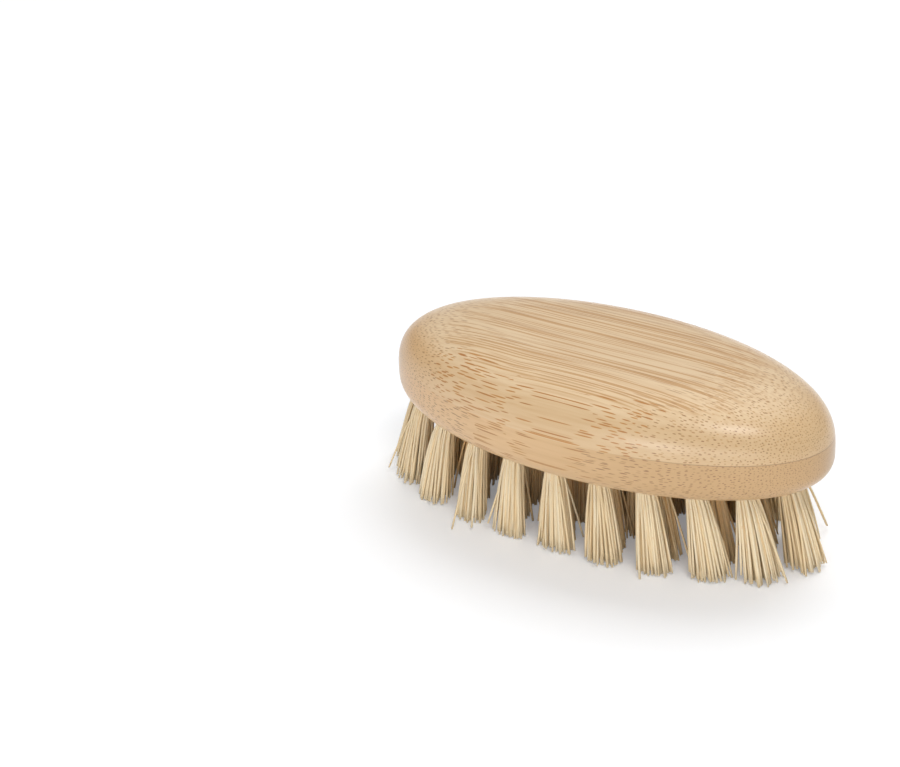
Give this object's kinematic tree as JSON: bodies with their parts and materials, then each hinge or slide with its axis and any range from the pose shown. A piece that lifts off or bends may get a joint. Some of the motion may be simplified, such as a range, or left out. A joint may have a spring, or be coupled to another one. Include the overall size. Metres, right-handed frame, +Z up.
{
  "type": "vegetable brush",
  "caption": "Oval hand brush with a domed two-ply bamboo block and splayed tufts of stiff plant fibre set in drilled holes.",
  "frame": {"origin": "on the surface that the bristles stand on, under the middle of the whole brush", "axes": "+X along the block's length, +Y across it, +Z up, out of the bristles' tips through the block"},
  "size_m": [0.1295, 0.06, 0.05],
  "materials": {
    "upper_bamboo": "satin varnish",
    "lower_bamboo": "satin varnish",
    "anchor_steel": "drawn flat wire",
    "plant_fibre": "dry plant fibre"
  },
  "bodies": {
    "root": {"upper_ply": "upper_bamboo", "lower_ply": "lower_bamboo", "anchor_wires": "anchor_steel", "outer_tuft_01": "plant_fibre", "outer_tuft_02": "plant_fibre", "outer_tuft_03": "plant_fibre", "outer_tuft_04": "plant_fibre", "outer_tuft_05": "plant_fibre", "outer_tuft_06": "plant_fibre", "outer_tuft_07": "plant_fibre", "outer_tuft_08": "plant_fibre", "outer_tuft_09": "plant_fibre", "outer_tuft_10": "plant_fibre", "outer_tuft_11": "plant_fibre", "outer_tuft_12": "plant_fibre", "outer_tuft_13": "plant_fibre", "outer_tuft_14": "plant_fibre", "outer_tuft_15": "plant_fibre", "outer_tuft_16": "plant_fibre", "outer_tuft_17": "plant_fibre", "outer_tuft_18": "plant_fibre", "outer_tuft_19": "plant_fibre", "outer_tuft_20": "plant_fibre", "second_tuft_01": "plant_fibre", "second_tuft_02": "plant_fibre", "second_tuft_03": "plant_fibre", "second_tuft_04": "plant_fibre", "second_tuft_05": "plant_fibre", "second_tuft_06": "plant_fibre", "second_tuft_07": "plant_fibre", "second_tuft_08": "plant_fibre", "second_tuft_09": "plant_fibre", "second_tuft_10": "plant_fibre", "second_tuft_11": "plant_fibre", "second_tuft_12": "plant_fibre", "second_tuft_13": "plant_fibre", "second_tuft_14": "plant_fibre", "inner_tuft_01": "plant_fibre", "inner_tuft_02": "plant_fibre", "inner_tuft_03": "plant_fibre", "inner_tuft_04": "plant_fibre", "inner_tuft_05": "plant_fibre", "inner_tuft_06": "plant_fibre", "inner_tuft_07": "plant_fibre", "inner_tuft_08": "plant_fibre", "middle_tuft_01": "plant_fibre", "middle_tuft_02": "plant_fibre"}
  },
  "joints": []
}
